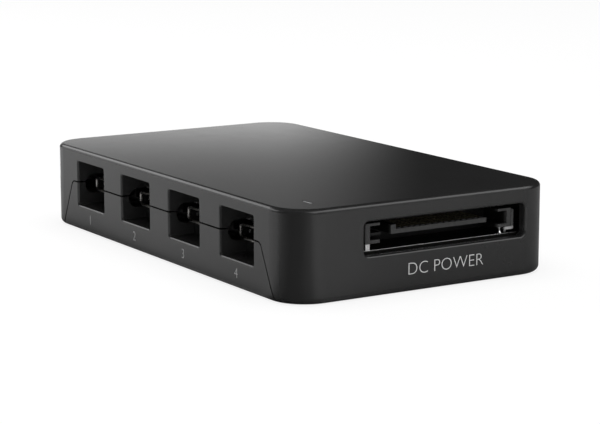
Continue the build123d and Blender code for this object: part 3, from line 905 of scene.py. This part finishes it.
@dataclass
class Connectors:
    """The fan sockets, the power plug and the data port."""

    def build(self, shop: Workshop) -> None:
        """Makes the rims of the fan sockets and the post beside the power plug."""
        SocketRims().build(shop)
        SolderPost().build(shop)

    def dress(self, shop: Workshop) -> None:
        """Finishes the plastic and the metal of every connector."""
        shop.dress(["power_plug"], PLUG)
        shop.dress([f"fan_socket_{n}" for n in PORTS], SHADED_SOCKET)
        shop.dress(["data_port_tongue"], CONNECTOR)
        shop.dress(["power_contacts"], CONTACT)
        shop.dress(["data_port_contacts"], GOLD)
        shop.dress([f"fan_pins_{n}" for n in PORTS] + ["power_plug_clip_1"], TIN)
        shop.dress(["power_plug_clip_2"], BLADE)
        shop.dress(["data_port_shell"], NICKEL)


@dataclass
class BoardParts:
    """The circuit board, the parts soldered to it and the status light."""

    def build(self, shop: Workshop) -> None:
        """Makes the strip on the board's edge."""
        BoardEdge().build(shop)

    def dress(self, shop: Workshop) -> None:
        """Finishes the board and its parts."""
        shop.dress(["circuit_board"], BOARD)
        shop.dress([f"channel_driver_{n}" for n in PORTS] + ["controller_chip", "regulator_chip"], EPOXY)
        leads = [f"channel_driver_leads_{n}" for n in PORTS]
        shop.dress(leads + ["controller_chip_leads", "regulator_leads", "inductor_pads"], TIN)
        bases = [f"channel_capacitor_base_{n}" for n in PORTS] + ["bulk_capacitor_base"]
        shop.dress(bases, CONNECTOR)
        shop.dress([f"channel_capacitor_can_{n}" for n in PORTS] + ["bulk_capacitor_can"], ALUMINIUM)
        shop.dress(["crystal_can"], CRYSTAL)
        shop.dress(["inductor_body"], FERRITE)
        shop.dress(["input_fuse"], FUSE)
        shop.dress(["chip_resistors"], RESISTOR)
        shop.dress(["ceramic_capacitors"], CERAMIC)
        shop.dress(["light_pipe"], MILKY)
        shop.dress(["status_lamp"], LAMP)


class Role(Enum):
    """What a studio card is for, by the kinds of ray that meet it."""

    LAMP = (True, True)
    MIRRORED = (False, True)
    FILL = (True, False)

    def apply(self, card: bpy.types.Object) -> None:
        """Sets which rays meet a card."""
        card.visible_camera = False
        card.visible_shadow = False
        card.visible_diffuse, card.visible_glossy = self.value


@dataclass
class SoftCard:
    """A glowing card of the studio: it adds its light to what lies behind it."""

    name: str
    azimuth: float
    elevation: float
    distance: float
    width: float
    height: float
    strength: float
    edge: float
    role: Role = Role.LAMP

    def build(self) -> None:
        """Hangs the card so that it looks at the object."""
        a, e = math.radians(self.azimuth), math.radians(self.elevation)
        out = Vector((math.cos(a) * math.cos(e), math.sin(a) * math.cos(e), math.sin(e)))
        deselect()
        bpy.ops.mesh.primitive_plane_add(size=1.0, location=out * self.distance)
        card = bpy.context.object
        card.name = self.name
        card.scale = (self.width, self.height, 1.0)
        card.rotation_euler = out.to_track_quat("Z", "Y").to_euler()
        self.role.apply(card)
        g = Graph(self.name)
        split = g.add("ShaderNodeSeparateXYZ")
        g.wire(g.place(), split.inputs["Vector"])
        shares = []
        for axis in ("X", "Y"):
            inward = g.math("SUBTRACT", 0.5, g.math("ABSOLUTE", split.outputs[axis]))
            node = g.add("ShaderNodeMapRange", {"From Max": self.edge}, interpolation_type="SMOOTHSTEP")
            g.wire(inward, node.inputs["Value"])
            shares.append(node.outputs["Result"])
        g.glow_through(g.math("MULTIPLY", g.math("MULTIPLY", *shares), self.strength))
        card.data.materials.append(g.material)
        log.info("card %s", self.name)


@dataclass
class Sweep:
    """The low white backdrop behind the object, bright at its foot."""

    eye: Vector
    near_edge: float = 144.3
    far_edge: float = 157.0
    soft_share: float = 0.38
    distance: float = 0.47
    top: float = 0.06
    strength: float = 1.12
    high_share: float = 0.155

    def build(self) -> None:
        """Stands the card behind the object, square to the view."""
        foot = Vector((self.eye.x, self.eye.y, 0.0))
        ends = []
        for angle in (self.far_edge, self.near_edge):
            a = math.radians(angle)
            ends.append(foot + Vector((math.cos(a), math.sin(a), 0.0)) * self.distance)
        along = ends[1] - ends[0]
        up = Vector((0, 0, 1))
        deselect()
        bpy.ops.mesh.primitive_plane_add(size=1.0)
        card = bpy.context.object
        card.name = "backdrop_sweep"
        x = along.normalized()
        turn = Matrix((x, up, x.cross(up))).transposed().to_4x4()
        middle = (ends[0] + ends[1]) / 2 + up * self.top / 2
        stretch = Matrix.Diagonal((along.length, self.top, 1, 1))
        card.matrix_world = Matrix.Translation(middle) @ turn @ stretch
        Role.MIRRORED.apply(card)
        g = Graph("backdrop_sweep")
        split = g.add("ShaderNodeSeparateXYZ")
        g.wire(g.place(), split.inputs["Vector"])
        height = g.math("ADD", split.outputs["Y"], 0.5)
        fade = g.ramp(height, [(0.0, 1.0), (0.32, 1.0), (0.54, self.high_share), (1.0, self.high_share)])
        side = g.add("ShaderNodeMapRange", {"From Max": self.soft_share}, interpolation_type="SMOOTHSTEP")
        g.wire(g.math("SUBTRACT", 0.5, split.outputs["X"]), side.inputs["Value"])
        front = g.math("SUBTRACT", 1.0, g.add("ShaderNodeNewGeometry").outputs["Backfacing"])
        power = g.math("MULTIPLY", g.math("MULTIPLY", fade, self.strength), side.outputs["Result"])
        g.glow_through(g.math("MULTIPLY", power, front))
        card.data.materials.append(g.material)
        log.info("backdrop sweep")


@dataclass
class Studio:
    """Floor, room, light cards and camera."""

    eye: Vector = Vector((328.29, -200.86, 78.73)) * MM
    azimuth: float = 58.128
    elevation: float = 10.664
    roll: float = -0.067
    lens: float = 120.08
    floor_size: float = 6.0
    floor_drop: float = 0.03 * MM
    floor_colour: float = 0.78
    floor_shade: float = 0.2
    floor_glow: float = 0.82
    footprint: Vector = Vector((48.0, 28.4, 0.0)) * MM
    contact_reach: float = 90 * MM
    near_corner: Vector = Vector((41.0, -21.0, 0.0)) * MM
    room_light: float = 0.35
    room_dark: float = 0.02

    def camera(self) -> None:
        """Sets the camera where the photograph was taken."""
        a, e = math.radians(self.azimuth), math.radians(self.elevation)
        back = Vector((math.sin(a) * math.cos(e), -math.cos(a) * math.cos(e), math.sin(e)))
        right = Vector((math.cos(a), math.sin(a), 0.0))
        up = back.cross(right)
        level = Matrix((right, up, back)).transposed().to_4x4()
        turn = level @ Matrix.Rotation(math.radians(self.roll), 4, "Z")
        deselect()
        bpy.ops.object.camera_add()
        camera = bpy.context.object
        camera.name = "photo_camera"
        camera.matrix_world = Matrix.Translation(self.eye) @ turn
        camera.data.sensor_fit = "HORIZONTAL"
        camera.data.sensor_width = 36.0
        camera.data.lens = self.lens
        camera.data.clip_start = 0.01
        bpy.context.scene.camera = camera
        log.info("camera at %s", tuple(round(c, 4) for c in self.eye))

    def floor(self) -> None:
        """Lays the pale floor: it takes shadows, and reflections see it with painted shade, darker towards
        the camera and with a painted contact shadow round the object's foot.
        """
        deselect()
        bpy.ops.mesh.primitive_plane_add(size=self.floor_size, location=(0, 0, -self.floor_drop))
        floor = bpy.context.object
        floor.name = "studio_floor"
        g = Graph("pale_floor")
        path = g.add("ShaderNodeLightPath")
        mapping = g.add("ShaderNodeMapping", {"Location": -self.near_corner})
        g.wire(g.place(), mapping.inputs["Vector"])
        angle = g.add("ShaderNodeTexGradient", gradient_type="RADIAL")
        g.wire(mapping.outputs["Vector"], angle.inputs["Vector"])
        stops = [
            (0.0, 0.52), (0.04, 0.92), (0.1, 0.82), (0.18, 0.92), (0.25, 0.24), (0.31, 0.02), (0.38, 0.03),
            (0.44, 0.22), (0.5, 0.84), (0.56, 0.8), (0.68, 0.46), (0.76, 0.34), (0.84, 0.3), (1.0, 0.52),
        ]
        around = g.ramp(angle.outputs["Fac"], stops)
        lit = g.blend(path.outputs["Is Camera Ray"], grey(self.floor_colour), grey(self.floor_shade))
        # reflections see the floor with painted shade: the angle ramp darkens it towards the camera, the
        # contact ramp round the foot
        seen = g.blend(path.outputs["Is Glossy Ray"], lit, g.tint(around, self.contact(g)))
        paint = g.add("ShaderNodeBsdfDiffuse")
        g.wire(seen, paint.inputs["Color"])
        glow = g.add("ShaderNodeEmission")
        g.wire(g.math("MULTIPLY", path.outputs["Is Camera Ray"], self.floor_glow), glow.inputs["Strength"])
        both = g.add("ShaderNodeAddShader")
        g.wire(paint.outputs["BSDF"], both.inputs[0])
        g.wire(glow.outputs["Emission"], both.inputs[1])
        g.wire(both.outputs["Shader"], g.output.inputs["Surface"])
        floor.data.materials.append(g.material)
        log.info("floor")

    def contact(self, g: Graph) -> bpy.types.NodeSocket:
        """The painted contact shadow that reflections see on the floor: darkest at the object's foot,
        brighter outwards.

        Args:
            g: the floor's nodes.

        Returns:
            The share's colour socket.
        """
        split = g.add("ShaderNodeSeparateXYZ")
        g.wire(g.place(), split.inputs["Vector"])
        beyond = [
            g.math("SUBTRACT", g.math("ABSOLUTE", split.outputs[axis]), half)
            for axis, half in zip("XY", self.footprint)
        ]
        share = g.math("DIVIDE", g.math("MAXIMUM", *beyond), self.contact_reach)
        return g.ramp(share, [(0.0, 0.55), (0.07, 0.78), (0.3, 0.87), (0.65, 0.95), (1.0, 1.0)])

    def room(self) -> None:
        """Sets the room: white to the camera, soft to what it lights, dim to reflections."""
        world = bpy.data.worlds.new("studio_room")
        bpy.context.scene.world = world
        world.use_nodes = True
        tree = world.node_tree
        tree.nodes.clear()
        path = tree.nodes.new("ShaderNodeLightPath")
        white = tree.nodes.new("ShaderNodeBackground")
        soft = tree.nodes.new("ShaderNodeBackground")
        dim = tree.nodes.new("ShaderNodeBackground")
        white.inputs["Color"].default_value = (1, 1, 1, 1)
        soft.inputs["Color"].default_value = (*grey(self.room_light), 1)
        dim.inputs["Color"].default_value = (*grey(self.room_dark), 1)
        mirror = tree.nodes.new("ShaderNodeMath")
        mirror.operation = "MAXIMUM"
        tree.links.new(path.outputs["Is Glossy Ray"], mirror.inputs[0])
        tree.links.new(path.outputs["Is Transmission Ray"], mirror.inputs[1])
        first = tree.nodes.new("ShaderNodeMixShader")
        second = tree.nodes.new("ShaderNodeMixShader")
        out = tree.nodes.new("ShaderNodeOutputWorld")
        tree.links.new(mirror.outputs["Value"], first.inputs["Fac"])
        tree.links.new(soft.outputs["Background"], first.inputs[1])
        tree.links.new(dim.outputs["Background"], first.inputs[2])
        tree.links.new(path.outputs["Is Camera Ray"], second.inputs["Fac"])
        tree.links.new(first.outputs["Shader"], second.inputs[1])
        tree.links.new(white.outputs["Background"], second.inputs[2])
        tree.links.new(second.outputs["Shader"], out.inputs["Surface"])
        log.info("room")

    def build(self) -> None:
        """Builds the studio."""
        scene = bpy.context.scene
        scene.view_settings.view_transform = "Standard"
        self.camera()
        self.floor()
        self.room()
        Sweep(self.eye).build()
        SoftCard("overhead_card", 0.0, 88.0, 1.0, 1.2, 1.2, 2.5, 0.2, Role.FILL).build()
        SoftCard("left_card", 196.0, 26.0, 0.7, 0.5, 0.3, 2.3, 0.25).build()
        SoftCard("front_left_card", 233.0, 27.0, 0.7, 0.5, 0.3, 2.0, 0.25, Role.MIRRORED).build()
        SoftCard("low_left_card", 212.0, 8.0, 0.7, 0.6, 0.24, 1.0, 0.3, Role.MIRRORED).build()
        SoftCard("right_card", 28.0, 42.0, 0.7, 1.3, 0.46, 2.2, 0.2, Role.MIRRORED).build()
        SoftCard("low_right_card", 38.0, 18.0, 0.7, 0.6, 0.55, 0.5, 0.3, Role.MIRRORED).build()
        SoftCard("front_fill", 345.0, 3.0, 0.7, 0.8, 0.16, 10.5, 0.3, Role.FILL).build()


def main() -> None:
    """Builds and dresses every sub-assembly, then the studio around it."""
    logging.basicConfig(level=logging.INFO, format="%(message)s")
    shop = Workshop()
    case = CaseShells()
    case.build(shop)
    case.dress(shop)
    connectors = Connectors()
    connectors.build(shop)
    connectors.dress(shop)
    board = BoardParts()
    board.build(shop)
    board.dress(shop)
    Studio().build()


if __name__ == "__main__":
    main()
